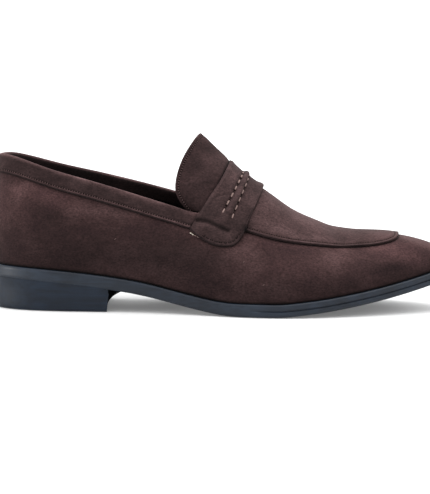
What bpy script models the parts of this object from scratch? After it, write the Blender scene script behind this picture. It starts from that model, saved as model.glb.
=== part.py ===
"""Suede slip-on dress loafer, right foot, standing empty on its sole.

The shoe is put together from an outsole, a heel, an insole, a hollow upper, a collar binding,
an apron, a tongue and a saddle strap.  The upper, binding, apron, tongue and strap all come from
one function of the last: wall(ring, rise).  "ring" runs round the shoe from the back of the heel
(0) along the outer side to the toe tip and back along the inner side, one step for each row of
SECTIONS, and "rise" runs up a section from the sole (0) to the topline or the vamp ridge (1).

Tables and functions are in millimetres, in the maker's frame: x forward from the back of the
heel, y towards the inner side, z up from the floor.  Meshes are written in metres.
"""

import math

import bmesh
import bpy
import numpy as np

MM = 0.001
GAP = 0.3  # clearance between pieces that meet

# Sizes of the pieces
WALL = 2.0  # suede, interlining and lining of the upper
WELT_MARGIN = 2.6  # sole edge past the foot of the upper
SOLE_EDGE = 7.9  # height of the outsole's side
SOLE_GROOVE = 0.8  # depth of the groove round the forefoot's side
INSOLE_THICK = 2.5
BINDING_SKIN = 1.1
BINDING_OUTSIDE = 9.6  # width of the collar binding on the outside
BINDING_INSIDE = 7.0
BINDING_END = 9.0  # ring place of its ends, under the strap
APRON_THICK = 1.3
TONGUE_THICK = 1.7
STRAP_THICK = 1.1

# Heel block
BREAST_X = 78.2
BREAST_HOLLOW = 2.0  # the breast is hollow in plan
BREAST_LEAN = 0.3  # the heel's foot lies this far behind its top
BREAST_FILLET = 9.6  # reach of the fillet under the waist, between the heel's corners
HEEL_STEP = 0.8  # the block is this much smaller all round than the outsole
HEEL_TAPER = 1.0

# Underside of the outsole along the shoe: heel seat, waist, flat tread and toe spring
BOTTOM_COLUMNS = ("x", "z")
BOTTOM = (
    (0.0, 20.0),
    (25.0, 19.1),
    (55.0, 16.9),
    (77.0, 14.4),
    (92.0, 12.3),
    (105.0, 9.8),
    (121.0, 6.0),
    (137.0, 2.6),
    (150.0, 0.5),
    (158.0, 0.0),
    (186.0, 0.0),
    (200.0, 1.3),
    (215.0, 3.1),
    (232.0, 5.8),
    (248.0, 8.8),
    (264.0, 12.3),
    (282.0, 17.0),
    (302.0, 23.0),
)

# One row for each section of the last.
# x, lat, med: the sole's outline, with its half widths on the outer and inner side.
# top_x, top_half, top_shift, top_z, med_lift: the end of the section, on the topline as far as
# the throat's corner (row 9), then up the throat's edge, and from row 12 on the vamp ridge.
# out, rise: the pull on the section where it leaves the sole.
# reach, turn, drop, slope: the pull where it arrives at its top end; turn is the angle in plan
# from the outline's normal towards the toe.
SECTION_COLUMNS = (
    "x", "lat", "med", "top_x", "top_half", "top_shift", "top_z", "med_lift",
    "out", "rise", "reach", "turn", "drop", "slope",
)
SECTIONS = (
    (0, 0, 0, 6, 0, 0, 95.2, 0, 4.5, 22, 3, 0, 24, 0),
    (3, 12.5, 12.5, 8.2, 11, 0, 95.1, 0, 4.5, 22, 3.2, 0, 24, 0),
    (11, 23, 23, 15, 18.5, 0, 94.5, 0, 4.8, 21, 3.6, 0, 23, 0),
    (26, 30.5, 30.3, 28, 23.8, 0, 91.3, 0, 5.2, 20, 4.4, 0, 22, 0),
    (46, 33.8, 32.8, 47, 27, 0, 86.0, 0.2, 5.6, 20, 5, 0, 21, 0),
    (68, 34.6, 32.4, 68, 28.6, 0, 80.6, 1.2, 6, 19, 5.5, 0, 19, 0),
    (90, 35.4, 30.8, 89, 29.4, 0, 74.6, 2.4, 6.4, 18, 6.2, 0, 18, 0),
    (108, 37.4, 31, 107, 29.8, 0, 69.2, 3.4, 6.8, 18, 7, 0, 17, 0),
    (122, 39.8, 32.6, 120, 30, 0, 65.4, 3.8, 7, 19, 8, 4, 16, 0),
    (136.5, 43.3, 36.4, 136.5, 30.5, 0, 61.4, 4, 7, 20, 8.5, 15, 16, 0),
    (146.5, 46.1, 40.2, 144, 26.5, 0.8, 74, 2, 7, 21, 10, 40, 14, -0.5),
    (154.5, 48.3, 43.1, 150.2, 16.5, 2, 84.4, 0.6, 7, 21, 15, 50, 10, -0.6),
    (162, 50.2, 45.6, 153.6, 0, 3, 90.4, 0, 6.8, 21, 27, 50, 0, -0.73),
    (170, 51.6, 47.8, 160.5, 0, 3, 84.6, 0, 6.5, 21, 25.5, 36, 0, -0.7),
    (179, 52.3, 49.6, 170, 0, 2.8, 77.8, 0, 6.3, 20, 25.5, 21, 0, -0.66),
    (190, 52.4, 50.6, 181, 0, 2.6, 70.6, 0, 6, 19, 26, 9, 0, -0.66),
    (204, 50.9, 50.4, 193, 0, 2.3, 62, 0, 5.8, 18, 26, 3, 0, -0.58),
    (220, 47.4, 48.6, 206, 0, 2, 56, 0, 5.4, 17, 25, 0, 0, -0.39),
    (238, 41.6, 44.2, 218.5, 0, 1.7, 51.6, 0, 4.8, 15, 25, 0, 0, -0.27),
    (256, 34.2, 37.2, 229, 0, 1.4, 49.4, 0, 4, 13, 26, 0, 0, -0.13),
    (272, 26.8, 29, 237, 0, 1.1, 48.8, 0, 3.2, 11, 28, 0, 0, -0.04),
    (285, 20, 21.2, 242.5, 0, 0.8, 48.7, 0, 2.5, 9, 29, 0, 0, -0.03),
    (294.5, 13.6, 14, 246, 0, 0.5, 48.65, 0, 2, 8, 30, 0, 0, -0.03),
    (300, 7, 7, 248, 0, 0.3, 48.6, 0, 1.7, 7, 30, 0, 0, -0.03),
    (302, 0, 0, 249, 0, 0.2, 48.55, 0, 1.6, 7, 30, 0, 0, -0.03),
)
TIP = len(SECTIONS) - 1  # ring place of the toe tip
TURN = 2 * TIP  # ring steps once round the shoe
THROAT = 12  # first row on the vamp ridge
STEPS = 2  # stations for each row of the table
WALL_RISES = 10

# Height of the apron's edge along the shoe, seen from the side
APRON_COLUMNS = ("x", "z")
APRON_EDGE = (
    (145.0, 58.2),
    (159.0, 53.9),
    (177.0, 48.7),
    (193.0, 45.2),
    (209.0, 43.2),
    (226.0, 41.6),
    (241.0, 41.9),
    (252.0, 43.2),
    (259.0, 44.9),
    (262.5, 46.8),
    (264.5, 49.5),
    (267.0, 55.0),
)
APRON_REAR = 0.55  # its rear end runs along this place across the strap, underneath
APRON_KICK = 0.35  # its rear end stands a little further off the wall
APRON_START = 10.8  # ring place of its rear corners
APRON_RISES = 8

# Free edge of the tongue, from its tip to the lower corner of its root
TONGUE_COLUMNS = ("x", "half", "z")
TONGUE_EDGE = (
    (135.9, 0.0, 111.0),
    (131.4, 11.0, 106.4),
    (125.6, 17.8, 97.7),
    (121.5, 21.8, 87.0),
    (119.6, 23.8, 77.5),
    (122.6, 25.0, 69.6),
    (131.0, 25.4, 63.6),
)
TONGUE_ROOT_ENDS = (9.3, 9.55)  # ring places of the root's lower corners, outer and inner side
TONGUE_INNER_LIFT = 4.0  # its inner corner lies higher, as the topline does
TONGUE_FLARE = 0.5  # how far the tongue turns up out of the vamp's slope
TONGUE_ACROSS = 11
TONGUE_LONG = 7

# The strap: its rear and front edge are straight lines seen from the side, and "across" runs
# from 0 on the rear line to 1 on the front one.
STRAP_REAR = (130.0, 52.0, 0.6)  # x, z, and x gained for each mm of height
STRAP_FRONT = (164.0, 53.0, 0.46)
TAB_COLUMNS = ("across", "z")
TAB_END = (
    (0.0, 52.0),
    (0.2, 48.5),
    (0.45, 45.4),
    (0.64, 43.8),
    (0.8, 43.3),
    (0.92, 44.2),
    (0.97, 46.4),
    (1.0, 51.0),
)
STRAP_ACROSS = (0, 0.04, 0.1, 0.2, 0.32, 0.42, 0.48, 0.53, 0.58, 0.64, 0.74, 0.84, 0.91, 0.96, 1)
STRAP_LONG = 12
STRAP_OVERHANG = 1.2  # the rear edge past the throat's, over the foot of the tongue
ROLL_COLUMNS = ("across", "half_width", "height")
STRAP_ROLLS = (
    (0.04, 0.06, 0.8),
    (0.53, 0.06, 1.5),
    (0.95, 0.06, 1.0),
)


def clear_scene():
    for thing in list(bpy.data.objects):
        bpy.data.objects.remove(thing)


def blend(x, low, high):
    """0 below low, 1 above high, and a smooth step between."""
    t = min(1.0, max(0.0, (x - low) / (high - low)))
    return t * t * (3.0 - 2.0 * t)


def through(table, x):
    """Smooth curve through a table's rows that never overshoots them; the first column is the place."""
    rows = np.array(table, float)
    xs, values = rows[:, 0], rows[:, 1:]
    width = np.diff(xs)[:, None]
    slope = np.diff(values, axis=0) / width
    pull = np.zeros_like(values)
    pull[0], pull[-1] = slope[0], slope[-1]
    same_way = slope[:-1] * slope[1:] > 0
    mean = 2 * slope[:-1] * slope[1:] / np.where(same_way, slope[:-1] + slope[1:], 1.0)
    pull[1:-1] = np.where(same_way, mean, 0.0)
    k = int(np.clip(np.searchsorted(xs, x) - 1, 0, len(xs) - 2))
    w = xs[k + 1] - xs[k]
    t = (x - xs[k]) / w
    if t < 0 or t > 1:
        end = k + (t > 1)
        return values[end] + pull[end] * (x - xs[end])
    return (
        values[k] * (1 + 2 * t) * (1 - t) ** 2
        + pull[k] * w * t * (1 - t) ** 2
        + values[k + 1] * t * t * (3 - 2 * t)
        + pull[k + 1] * w * t * t * (t - 1)
    )


def sole_bottom(x):
    return float(through(BOTTOM, x)[0])


def sole_top(x):
    return sole_bottom(x) + SOLE_EDGE


def ring_table():
    """SECTIONS once round the shoe: outline x, y, top x, y, z and the pulls, outer side first."""
    rows = []
    for place in range(TURN):
        inner = place > TIP
        row = dict(zip(SECTION_COLUMNS, SECTIONS[TURN - place if inner else place]))
        side = 1.0 if inner else -1.0
        half = row["med"] if inner else row["lat"]
        rows.append((
            row["x"],
            side * half,
            row["top_x"],
            side * row["top_half"] + row["top_shift"],
            row["top_z"] + (row["med_lift"] if inner else 0.0),
            *(row[c] for c in ("out", "rise", "reach", "drop", "slope")),
            -side * row["turn"],
        ))
    return np.array(rows)


RING = ring_table()
OPENING = np.concatenate((RING[:THROAT + 1, 2:5], RING[TURN - THROAT + 1:, 2:5]))
RIDGE = RING[THROAT:TIP + 1, 2:5]
RIDGE = np.concatenate((2 * RIDGE[:1] - RIDGE[1:2], RIDGE, RIDGE[-2:-4:-1]))


def catmull(before, here, after, beyond, t):
    """Catmull-Rom curve between the rows here and after."""
    return 0.5 * (
        2 * here
        + (after - before) * t
        + (2 * before - 5 * here + 4 * after - beyond) * t * t
        + (3 * here - before - 3 * after + beyond) * t ** 3
    )


def section(ring):
    """The ring table between its rows."""
    base = math.floor(ring)
    return catmull(*(RING[(base + k) % TURN] for k in (-1, 0, 1, 2)), ring - base)


def throat_pace(place):
    """Slows the top end to a stop in the throat's corner, which keeps the wall smooth past it."""
    left = 1 - min(1.0, abs(place - THROAT))
    return THROAT + math.copysign(1 - left - left ** 2 + left ** 3, place - THROAT) if left else place


def top_end(ring):
    """Top end of a section: on the opening's edge, which is closed at the throat, or past the
    throat on the vamp ridge, which both sides share."""
    place = ring % TURN
    place = place if place <= TIP else place - TURN
    place = math.copysign(throat_pace(abs(place)), place)
    if abs(place) < THROAT:
        base = math.floor(place)
        return catmull(*(OPENING[(base + k) % len(OPENING)] for k in (-1, 0, 1, 2)), place - base)
    place = abs(place) - THROAT
    base = math.floor(place)
    return catmull(*RIDGE[base:base + 4], place - base)


def outline_normal(ring, step=0.02):
    along = (section(ring + step) - section(ring - step))[:2]
    across = np.array((along[1], -along[0]))
    return across / np.linalg.norm(across)


def outline(ring, inset):
    """Plan of the sole's edge, moved inwards by inset."""
    return section(ring)[:2] - outline_normal(ring) * inset


def wall(ring, rise):
    """Outer face of the upper."""
    out, lift, reach, drop, slope, turn = section(ring)[5:]
    normal = outline_normal(ring)
    outward = np.array((*normal, 0.0))
    angle = math.atan2(normal[1], normal[0]) + math.radians(turn)
    arrival = np.array((math.cos(angle), math.sin(angle), 0.0))
    up = np.array((0.0, 0.0, 1.0))
    foot = np.array((*outline(ring, WELT_MARGIN), 0.0))
    foot[2] = sole_top(foot[0]) + GAP
    top = top_end(ring)
    above_foot = foot + outward * out + up * lift
    below_top = top + arrival * reach + up * (slope * arrival[0] * reach - drop)
    t = rise
    return (
        foot * (1 - t) ** 3
        + above_foot * 3 * t * (1 - t) ** 2
        + below_top * 3 * t * t * (1 - t)
        + top * t ** 3
    )


def on_ridge(ring, rise):
    place = ring % TURN
    return rise > 0.999 and THROAT <= place <= TURN - THROAT


def facing(ring, rise, step=0.02):
    """Outward normal of the wall."""
    t = min(rise, 0.97)
    along = wall(ring + step, t) - wall(ring - step, t)
    upward = wall(ring, t + step) - wall(ring, t - step)
    normal = np.cross(along, upward)
    return normal / np.linalg.norm(normal)


def skin(ring, rise, lift):
    """Point at a distance outside the wall; both sides agree on the vamp ridge."""
    normal = facing(ring, rise)
    if on_ridge(ring, rise):
        normal = normal + facing(TURN - ring, rise)
        normal = normal / np.linalg.norm(normal)
    return wall(ring, rise) + normal * lift


def strap_plane(across):
    """Function of a point: how far it lies behind the strap's line at this place across it."""
    def behind(point):
        rear, front = (x + (point[2] - z) * gain for x, z, gain in (STRAP_REAR, STRAP_FRONT))
        return rear + (front - rear) * across - point[0]

    return behind


def rise_where(ring, height_over):
    """Rise at which height_over(point) turns positive on this section."""
    low, high = 0.05, 1.0
    for _ in range(24):
        middle = 0.5 * (low + high)
        if height_over(wall(ring, middle)) < 0:
            low = middle
        else:
            high = middle
    return high


def stations(first, last):
    """Ring places from first to last, on the upper's own stations between them."""
    inner = [k / STEPS for k in range(math.ceil(first * STEPS), math.floor(last * STEPS) + 1)]
    return sorted({first, last, *inner})


def material(name, colour, roughness):
    made = bpy.data.materials.new(name)
    made.use_nodes = True
    shader = made.node_tree.nodes["Principled BSDF"]
    shader.inputs["Base Color"].default_value = (*colour, 1.0)
    shader.inputs["Roughness"].default_value = roughness
    shader.inputs["Metallic"].default_value = 0.0
    return made


def make(name, points, faces, finish, frame):
    """A named object from points in millimetres, shaded smooth, in the shoe's frame."""
    mesh = bpy.data.meshes.new(name)
    mesh.from_pydata([tuple(np.asarray(p) * MM) for p in points], [], faces)
    mesh.materials.append(finish)
    made = bpy.data.objects.new(name, mesh)
    bpy.context.scene.collection.objects.link(made)
    made.parent = frame
    shape = bmesh.new()
    shape.from_mesh(mesh)
    bmesh.ops.remove_doubles(shape, verts=shape.verts, dist=1e-3 * MM)
    shape.to_mesh(mesh)
    shape.free()
    mesh.shade_smooth()
    mesh.set_sharp_from_angle(angle=math.radians(40))
    return made


def grid_faces(rows, columns, first=0, turned=False):
    """Quads of a grid whose points are stored row by row."""
    faces = []
    for r in range(rows - 1):
        for c in range(columns - 1):
            a = first + r * columns + c
            face = (a, a + columns, a + columns + 1, a + 1)
            faces.append(face[::-1] if turned else face)
    return faces


def shell(name, outside, inside, finish, frame):
    """Closed solid between two grids of points of the same shape."""
    rows, columns = outside.shape[:2]
    count = rows * columns
    faces = grid_faces(rows, columns) + grid_faces(rows, columns, count, turned=True)
    border = [(r, 0) for r in range(rows)]
    border += [(rows - 1, c) for c in range(1, columns)]
    border += [(r, columns - 1) for r in range(rows - 2, -1, -1)]
    border += [(0, c) for c in range(columns - 2, 0, -1)]
    loop = [r * columns + c for r, c in border]
    for here, after in zip(loop, loop[1:] + loop[:1]):
        faces.append((here, here + count, after + count, after))
    points = np.concatenate((outside.reshape(-1, 3), inside.reshape(-1, 3)))
    return make(name, points, faces, finish, frame)


def stack(name, loops, finish, frame):
    """Closed solid from loops of points one above the other, capped by strips across the shoe.
    A loop starts at the back and goes round the outer side first."""
    size = len(loops[0])
    faces = []
    for level in range(len(loops) - 1):
        for k in range(size):
            after = (k + 1) % size
            low, high = level * size, (level + 1) * size
            faces.append((low + k, low + after, high + after, high + k))
    top = (len(loops) - 1) * size
    for k in range(size // 2):
        strip = [k, k + 1, size - k - 1, (size - k) % size]
        strip = list(dict.fromkeys(strip))
        faces.append(tuple(strip[::-1]))
        faces.append(tuple(top + p for p in strip))
    return make(name, np.concatenate(loops), faces, finish, frame)


def sheet(name, places, rises, lift, thick, finish, frame):
    """Part of the wall as a sheet, joined along the vamp ridge and given its thickness.
    A negative thickness grows inwards."""
    grid = np.array([[skin(p, r, lift(p, r)) for r in rises(p)] for p in places])
    rows, columns = grid.shape[:2]
    made = make(name, grid.reshape(-1, 3), grid_faces(rows, columns), finish, frame)
    thicken = made.modifiers.new("thickness", "SOLIDIFY")
    thicken.thickness = abs(thick) * MM
    thicken.offset = math.copysign(1.0, thick)
    return made


def sole_groove(ring):
    """Depth of the groove in the sole's side: it runs round the forefoot and fades at the waist."""
    place = min(ring % TURN, TURN - ring % TURN)
    return SOLE_GROOVE * blend(place, 12.0, 15.0)


def outsole(finish, frame):
    edge_round = 0.8
    groove_low, groove_wide = 3.4, 1.1
    profile = (
        (edge_round, 0.0, False),
        (0.0, edge_round, False),
        (0.0, groove_low, False),
        (0.0, groove_low + 0.3, True),
        (0.0, groove_low + groove_wide - 0.3, True),
        (0.0, groove_low + groove_wide, False),
        (0.0, SOLE_EDGE - 0.5 * edge_round, False),
        (0.5 * edge_round, SOLE_EDGE, False),
    )
    loops = []
    for inset, height, grooved in profile:
        loop = []
        for ring in np.arange(0, TURN, 1 / STEPS):
            x, y = outline(ring, inset + (sole_groove(ring) if grooved else 0.0))
            loop.append((x, y, sole_bottom(x) + height))
        loops.append(np.array(loop))
    return stack("outsole", loops, finish, frame)


def heel(finish, frame):
    """Heel block: the outsole's outline as far as the breast, which has a fillet between its corners."""
    levels = (0.0, 0.06, 0.3, 0.55, 0.78, 1.0)
    side_points, breast_points = 16, 6
    breast_row = next(k for k, row in enumerate(SECTIONS) if row[0] > BREAST_X)
    loops = []
    for level in levels:
        inset = HEEL_STEP + HEEL_TAPER * (1 - level) + (0.6 if level == 0.0 else 0.0)
        corner_x = BREAST_X - BREAST_LEAN * (1 - level)
        halves = []
        for side in (1, -1):
            low, high = 0.0, float(breast_row)
            for _ in range(24):
                middle = 0.5 * (low + high)
                if outline(side * middle, inset)[0] < corner_x:
                    low = middle
                else:
                    high = middle
            halves.append([outline(side * high * k / side_points, inset) for k in range(side_points + 1)])
        outer, inner = halves
        breast = []
        for k in range(1, 2 * breast_points):
            across = k / (2 * breast_points)
            x, y = outer[-1] + (inner[-1] - outer[-1]) * across
            middle = 1 - (2 * across - 1) ** 2
            inboard = blend(across, 0.0, 0.14) * (1 - blend(across, 0.86, 1.0))
            forward = BREAST_FILLET * inboard * level ** 2.4
            breast.append((x - BREAST_HOLLOW * middle + forward, y))
        plan = outer + breast + inner[:0:-1]
        loops.append(np.array([(x, y, level * (sole_bottom(x) - GAP)) for x, y in plan]))
    return stack("heel", loops, finish, frame)


def insole(finish, frame):
    margin = WELT_MARGIN + WALL + 0.5
    profile = ((margin, 0.0), (margin, INSOLE_THICK - 0.5), (margin + 0.6, INSOLE_THICK))
    loops = []
    for inset, height in profile:
        plan = [outline(ring, inset) for ring in np.arange(0, TURN, 1 / STEPS)]
        loops.append(np.array([(x, y, sole_top(x) + GAP + height) for x, y in plan]))
    return stack("insole", loops, finish, frame)


def upper(finish, frame):
    places = np.arange(0, TURN + 0.5 / STEPS, 1 / STEPS)
    rises = np.linspace(0, 1, WALL_RISES + 1)
    return sheet("upper", places, lambda ring: rises, lambda ring, rise: 0.0, -WALL, finish, frame)


def apron(finish, frame):
    def rises(ring):
        edge = rise_where(ring, lambda p: p[2] - through(APRON_EDGE, p[0])[0])
        return np.linspace(edge, rise_where(ring, strap_plane(APRON_REAR)), APRON_RISES + 1)

    def lift(ring, rise):
        under_strap = 1 - blend(min(ring, TURN - ring), THROAT + 1.5, THROAT + 3.5)
        return GAP + APRON_KICK * under_strap * blend(rise, 0.62, 0.78)

    places = stations(APRON_START, TURN - APRON_START)
    return sheet("apron", places, rises, lift, APRON_THICK, finish, frame)


def binding_profile():
    """Section of the collar binding, folded over the topline: distance down the wall from its
    top edge, and distance outside its outer face."""
    near, far = GAP, GAP + BINDING_SKIN
    centre = -0.5 * WALL

    def over(distance, steps):
        radius = 0.5 * WALL + distance
        turns = [math.pi * k / steps for k in range(steps + 1)]
        return [(-radius * math.sin(a), centre + radius * math.cos(a)) for a in turns]

    bulge = 0.2  # the folded band is a little fuller half way down
    outside = [(BINDING_OUTSIDE * s, far + bulge * math.sin(math.pi * s)) for s in (1, 0.75, 0.5, 0.25)]
    back_outside = [(BINDING_OUTSIDE * s, near) for s in (0.5, 1)]
    return [
        *outside,
        *over(far, 4),
        (BINDING_INSIDE, -WALL - far),
        (BINDING_INSIDE, -WALL - near),
        *over(near, 2)[::-1],
        *back_outside,
    ]


def collar(finish, frame):
    """Binding along the topline from one throat corner round the heel to the other."""
    profile = binding_profile()
    places = stations(-BINDING_END, BINDING_END)
    points = []
    for ring in places:
        rises = np.linspace(1.0, 0.5, 26)
        line = np.array([wall(ring, r) for r in rises])
        down = np.concatenate(([0.0], np.cumsum(np.linalg.norm(np.diff(line, axis=0), axis=1))))
        upward = (line[0] - line[1]) / down[1]
        for along, off in profile:
            rise = float(np.interp(max(along, 0.0), down, rises))
            points.append(skin(ring, rise, off) + upward * max(-along, 0.0))
    size, count = len(profile), len(places)
    faces = []
    for r in range(count - 1):
        for k in range(size):
            after = (k + 1) % size
            faces.append((r * size + k, (r + 1) * size + k, (r + 1) * size + after, r * size + after))
    faces.append(tuple(range(size)))
    faces.append(tuple((count - 1) * size + k for k in range(size - 1, -1, -1)))
    return make("collar", points, faces, finish, frame)


def eased(field, passes):
    """Averages a grid of vectors with its neighbours and makes them unit vectors again."""
    for _ in range(passes):
        for axis in (0, 1):
            ends = [(1, 1) if k == axis else (0, 0) for k in range(3)]
            wide = np.moveaxis(np.pad(field, ends, mode="edge"), axis, 0)
            field = np.moveaxis((wide[:-2] + 2 * wide[1:-1] + wide[2:]) / 4, 0, axis)
    return field / np.linalg.norm(field, axis=2, keepdims=True)


def tongue(finish, frame):
    """Leaf that leaves the throat's edge as a continuation of the vamp and ends in its free edge."""
    shift = dict(zip(SECTION_COLUMNS, SECTIONS[THROAT]))["top_shift"]
    edge = np.array(TONGUE_EDGE)
    edge = np.concatenate((edge[1:2] * (1, -1, 1), edge, 2 * edge[-1:] - edge[-2:-1]))
    shares = np.linspace(-1, 1, 2 * TONGUE_ACROSS + 1)
    shares = np.copysign(np.abs(shares) ** 1.3, shares)
    ends = [TONGUE_ROOT_ENDS[int(share > 0)] for share in shares]
    rings = [THROAT - (THROAT - end) * abs(share) for end, share in zip(ends, shares)]
    rings = [ring if share <= 0 else TURN - ring for ring, share in zip(rings, shares)]
    on_edge = np.array([wall(ring, 1.0) for ring in rings])
    normal = np.array([skin(ring, 1.0, 1.0) for ring in rings]) - on_edge
    normal = eased(normal[:, None], 6)[:, 0]
    backward = np.cross(normal, np.gradient(on_edge, axis=0))
    backward = backward / np.linalg.norm(backward, axis=1, keepdims=True)
    rows = []
    for k, share in enumerate(shares):
        place = abs(share) * (len(TONGUE_EDGE) - 1)
        base = min(math.floor(place), len(TONGUE_EDGE) - 2)
        x, half, z = catmull(*edge[base:base + 4], place - base)
        z += TONGUE_INNER_LIFT * max(share, 0.0) ** 2
        free = np.array((x, math.copysign(half, share) + shift * (1 - abs(share)), z))
        root = on_edge[k] + backward[k] * 2 * GAP + normal[k] * APRON_THICK
        chord = free - root
        leaving = backward[k] + normal[k] * TONGUE_FLARE * (1 - 0.5 * abs(share))
        bend = leaving * np.linalg.norm(chord) - chord
        rows.append([root + chord * t + bend * t * (1 - t) ** 2 for t in np.linspace(0, 1, TONGUE_LONG + 1)])
    top = np.array(rows)
    face = np.cross(np.gradient(top, axis=0), np.gradient(top, axis=1))
    face = face / np.linalg.norm(face, axis=2, keepdims=True)
    return shell("tongue", top, top - face * TONGUE_THICK, finish, frame)


def strap_lift(across, height_over_apron):
    """Underside of the strap over the wall: on the apron and the collar's end, then on the wall."""
    over = GAP + APRON_THICK + 2.5 * GAP
    raised = max(blend(height_over_apron, -5.0, -0.7), 0.8 - 0.8 * blend(across, 0.2, 0.34))
    return 1.2 * GAP + (over - GAP) * raised


def strap_rolls(across, along):
    """Height of the rolls sewn along the strap, which fade out above its ends."""
    fade = 1 - blend(along, 0.6, 0.85)
    return fade * sum(high * math.exp(-(((across - place) / half) ** 2)) for place, half, high in STRAP_ROLLS)


def strap_line(across):
    """Ring places and rises along the strap from the vamp ridge to its tab, at equal distances."""
    behind = strap_plane(across)
    end_z = float(through(TAB_END, across)[0])
    low, high = float(THROAT), float(THROAT + 4)
    for _ in range(24):
        ring = 0.5 * (low + high)
        if behind(wall(ring, 1.0)) > 0:
            low = ring
        else:
            high = ring
    line = [(ring, 1.0)]
    while wall(*line[-1])[2] > end_z:
        ring -= 0.08
        line.append((ring, rise_where(ring, behind)))
    line = np.array(line)
    points = np.array([wall(*place) for place in line])
    far = np.concatenate(([0.0], np.cumsum(np.linalg.norm(np.diff(points, axis=0), axis=1))))
    end = np.interp(-end_z, -points[:, 2], far)
    steps = np.linspace(0, end, STRAP_LONG + 1)
    return [(np.interp(f, far, line[:, 0]), np.interp(f, far, line[:, 1])) for f in steps]


def strap(finish, frame):
    """Saddle strap from one tab over the vamp ridge to the other, lifted off the wall."""
    base, low, high = [], [], []
    for across in STRAP_ACROSS:
        line = [(ring, rise, k / STRAP_LONG) for k, (ring, rise) in enumerate(strap_line(across))]
        line = line[::-1] + [(TURN - ring, rise, far) for ring, rise, far in line[1:]]
        points = [wall(ring, rise) for ring, rise, _ in line]
        lifts = [strap_lift(across, p[2] - through(APRON_EDGE, p[0])[0]) for p in points]
        base.append(points)
        low.append(lifts)
        high.append([l + STRAP_THICK + strap_rolls(across, far) for l, (_, _, far) in zip(lifts, line)])
    base, low, high = (np.array(a, float) for a in (base, low, high))
    normal = np.cross(np.gradient(base, axis=0), np.gradient(base, axis=1))
    normal = eased(normal / np.linalg.norm(normal, axis=2, keepdims=True), 3)
    under = base + normal * low[..., None]
    top = base + normal * high[..., None]
    overhang = STRAP_OVERHANG / np.linalg.norm(under[0] - under[1], axis=1, keepdims=True)
    rear_under = under[0] + (under[0] - under[1]) * overhang
    rear_top = rear_under + (top[0] - under[0]) * 0.85
    top = np.concatenate((rear_top[None], top))
    under = np.concatenate((rear_under[None], under))
    return shell("strap", top, under, finish, frame)


def shoe_frame():
    """Empty that carries the pieces, with the origin under the middle of the sole's outline."""
    plan = np.array([outline(ring, 0.0) for ring in np.arange(0, TURN, 1 / STEPS)])
    middle = 0.5 * (plan.min(axis=0) + plan.max(axis=0))
    frame = bpy.data.objects.new("shoe", None)
    bpy.context.scene.collection.objects.link(frame)
    frame.location = (-middle[0] * MM, -middle[1] * MM, 0.0)
    return frame


def main():
    clear_scene()
    suede = material("suede", (0.060, 0.038, 0.035), 0.95)
    rubber = material("sole_rubber", (0.035, 0.042, 0.055), 0.45)
    lining = material("lining_leather", (0.020, 0.016, 0.015), 0.6)
    frame = shoe_frame()
    outsole(rubber, frame)
    heel(rubber, frame)
    insole(lining, frame)
    upper(suede, frame)
    collar(suede, frame)
    apron(suede, frame)
    tongue(suede, frame)
    strap(suede, frame)


main()
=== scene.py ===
import math

import bpy
import bmesh
import numpy as np
from mathutils import Matrix, Vector
from mathutils.bvhtree import BVHTree
from mathutils.kdtree import KDTree


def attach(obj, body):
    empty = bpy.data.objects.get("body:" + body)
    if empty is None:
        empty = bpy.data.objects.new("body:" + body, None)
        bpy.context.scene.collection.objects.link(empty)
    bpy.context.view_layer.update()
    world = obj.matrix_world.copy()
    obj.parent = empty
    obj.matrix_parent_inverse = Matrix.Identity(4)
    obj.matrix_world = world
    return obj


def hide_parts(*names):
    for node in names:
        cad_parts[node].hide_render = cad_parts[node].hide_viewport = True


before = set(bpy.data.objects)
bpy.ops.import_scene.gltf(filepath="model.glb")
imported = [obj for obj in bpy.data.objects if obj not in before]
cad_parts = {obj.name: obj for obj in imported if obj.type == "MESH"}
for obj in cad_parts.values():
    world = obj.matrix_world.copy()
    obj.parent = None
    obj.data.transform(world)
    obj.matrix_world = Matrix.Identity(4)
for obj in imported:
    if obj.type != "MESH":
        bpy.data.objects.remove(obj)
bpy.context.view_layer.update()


# Outsole. One moulded rubber piece: a flat side with a groove round the forefoot, a waist that
# lifts off the floor and a toe spring. It is dyed blue-black and its side is buffed along the shoe.

MM = 0.001


def merged_copy(node, name):
    """A copy of a CAD solid whose loose triangles are merged and turned back into quads."""
    bpy.ops.object.select_all(action="DESELECT")
    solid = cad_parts[node]
    solid.select_set(True)
    bpy.context.view_layer.objects.active = solid
    bpy.ops.object.duplicate()
    piece = bpy.context.active_object
    piece.parent = None
    for tag in list(piece.keys()):
        del piece[tag]
    piece.name = name
    piece.data.name = name
    piece.data.materials.clear()
    bpy.ops.mesh.customdata_custom_splitnormals_clear()
    bpy.ops.object.mode_set(mode="EDIT")
    bpy.ops.mesh.select_all(action="SELECT")
    bpy.ops.mesh.remove_doubles(threshold=0.02 * MM)
    bpy.ops.mesh.tris_convert_to_quads(face_threshold=math.radians(35), shape_threshold=math.radians(70))
    bpy.ops.object.mode_set(mode="OBJECT")
    return piece


def subdivide(piece, levels, hold, sharp=50):
    """Subdivides a merged copy; edges sharper than an angle are held by a crease, 1 for a hard edge."""
    bpy.ops.object.select_all(action="DESELECT")
    piece.select_set(True)
    bpy.context.view_layer.objects.active = piece
    bpy.ops.object.mode_set(mode="EDIT")
    bpy.ops.mesh.select_all(action="DESELECT")
    bpy.ops.mesh.select_mode(type="EDGE")
    bpy.ops.mesh.edges_select_sharp(sharpness=math.radians(sharp))
    bpy.ops.transform.edge_crease(value=hold)
    bpy.ops.object.mode_set(mode="OBJECT")
    finer = piece.modifiers.new("finer", "SUBSURF")
    finer.levels = levels
    finer.render_levels = levels
    bpy.ops.object.modifier_apply(modifier="finer")
    bpy.ops.object.shade_smooth_by_angle(angle=math.radians(50))


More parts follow.
